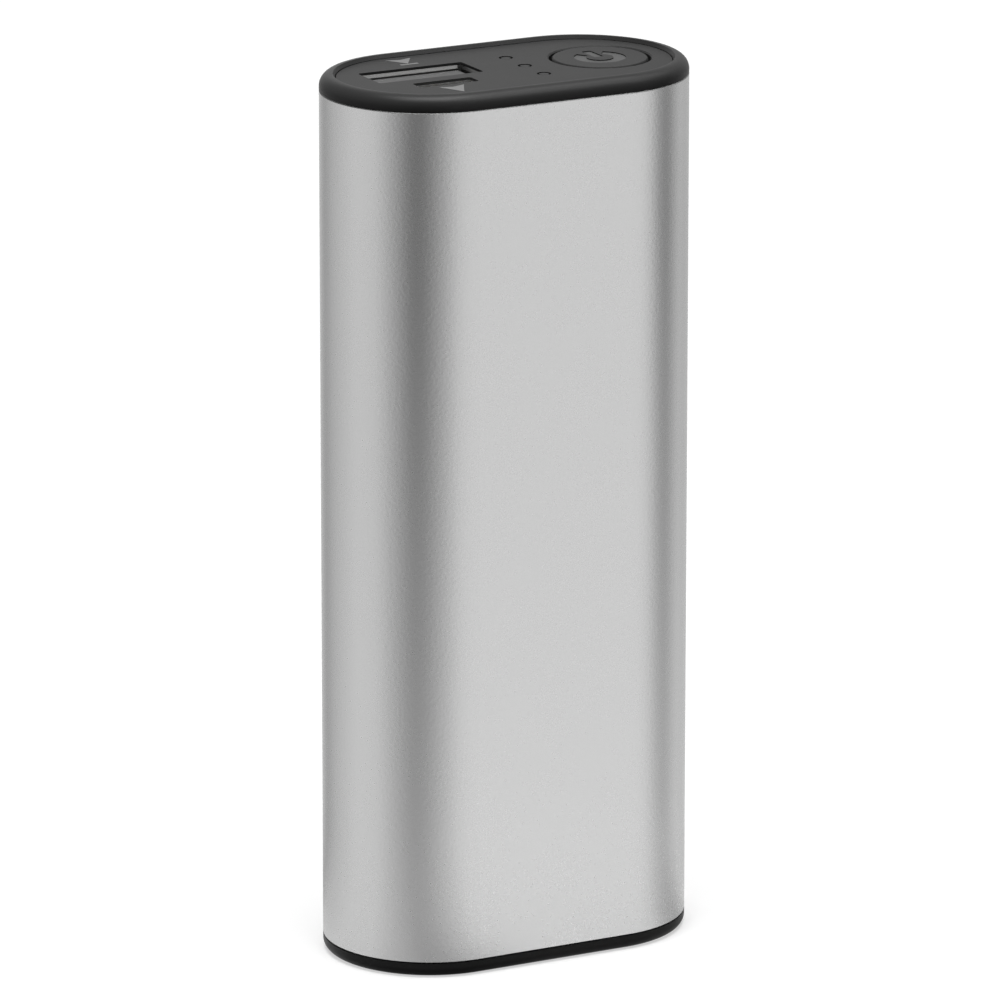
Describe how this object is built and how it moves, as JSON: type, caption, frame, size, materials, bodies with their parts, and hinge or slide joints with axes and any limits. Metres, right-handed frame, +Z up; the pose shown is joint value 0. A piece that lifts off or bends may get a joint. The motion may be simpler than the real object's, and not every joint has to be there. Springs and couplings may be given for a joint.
{
  "type": "rechargeable hand warmer",
  "caption": "Slim pocket hand warmer: a satin aluminium tube of flat-sided oval section with moulded end caps, and ports, status lights and a push button in the recessed top.",
  "frame": {"origin": "centre of the underside of the bottom cap, on the surface that the hand warmer stands on", "axes": "+Z up along the length, towards the button and ports; +X towards the button, -X towards the ports; -Y is the front face, on the side of the small port"},
  "size_m": [0.043, 0.0242, 0.1005],
  "materials": {
    "tube_aluminium": "satin bead-blasted, anodised",
    "cap_black": "fine satin moulding",
    "panel_dark": "matte",
    "button_dark": "matte",
    "guide_clear": "clear moulding",
    "led_cream": "cast resin",
    "board_green": "solder mask",
    "screw_steel": "zinc plated",
    "switch_black": "moulded",
    "tongue_grey": "moulded",
    "sheet_steel": "plated sheet",
    "header_black": "moulded body with plated pins",
    "contact_gold": "gold flashed",
    "coil_grey": "ferrite",
    "can_aluminium": "drawn can",
    "chip_black": "moulded",
    "cradle_grey": "moulded",
    "cell_can": "nickel plated can",
    "ring_white": "fibre paper",
    "sleeve_blue": "shrink film",
    "nickel_strip": "nickel",
    "foam_grey": "closed cell foam",
    "cutout_white": "glazed",
    "film_amber": "polyimide film",
    "foil_copper": "etched foil",
    "pad_cream": "fibre paper"
  },
  "bodies": {
    "housing": {"shell": "tube_aluminium", "top_cap": "cap_black", "control_panel": "panel_dark", "light_guide": "guide_clear", "status_leds": "led_cream", "key_board": "board_green", "key_screws": "screw_steel", "switch_case": "switch_black", "switch_cover": "sheet_steel", "switch_dome": "sheet_steel", "link_header": "header_black", "main_board": "board_green", "usb_a_shell": "sheet_steel", "usb_a_tongue": "tongue_grey", "usb_a_contacts": "contact_gold", "micro_usb_shell": "sheet_steel", "micro_usb_tongue": "tongue_grey", "micro_usb_contacts": "contact_gold", "power_coil": "coil_grey", "capacitors": "can_aluminium", "board_chips": "chip_black", "cap_screws": "screw_steel", "cradle_front": "cradle_grey", "cradle_back": "cradle_grey", "cell_left": "cell_can", "cell_right": "cell_can", "cell_caps": "nickel_strip", "cell_rings": "ring_white", "cell_sleeves": "sleeve_blue", "top_tab": "nickel_strip", "base_tab": "nickel_strip", "cell_cushion": "foam_grey", "thermal_cutout": "cutout_white", "heater_front": "film_amber", "heater_back": "film_amber", "foil_front": "foil_copper", "foil_back": "foil_copper", "pad_front": "pad_cream", "pad_back": "pad_cream", "bottom_cap": "cap_black"},
    "button": {"power_button": "button_dark", "switch_plunger": "switch_black"}
  },
  "joints": [
    {"name": "button_press", "type": "slide", "parent": "housing", "child": "button", "axis": [0, 0, -1], "range_m": [0, 0.0004], "stiffness_N_per_m": 3000, "springref_m": -0.0002, "deforming": ["switch_dome"]}
  ]
}
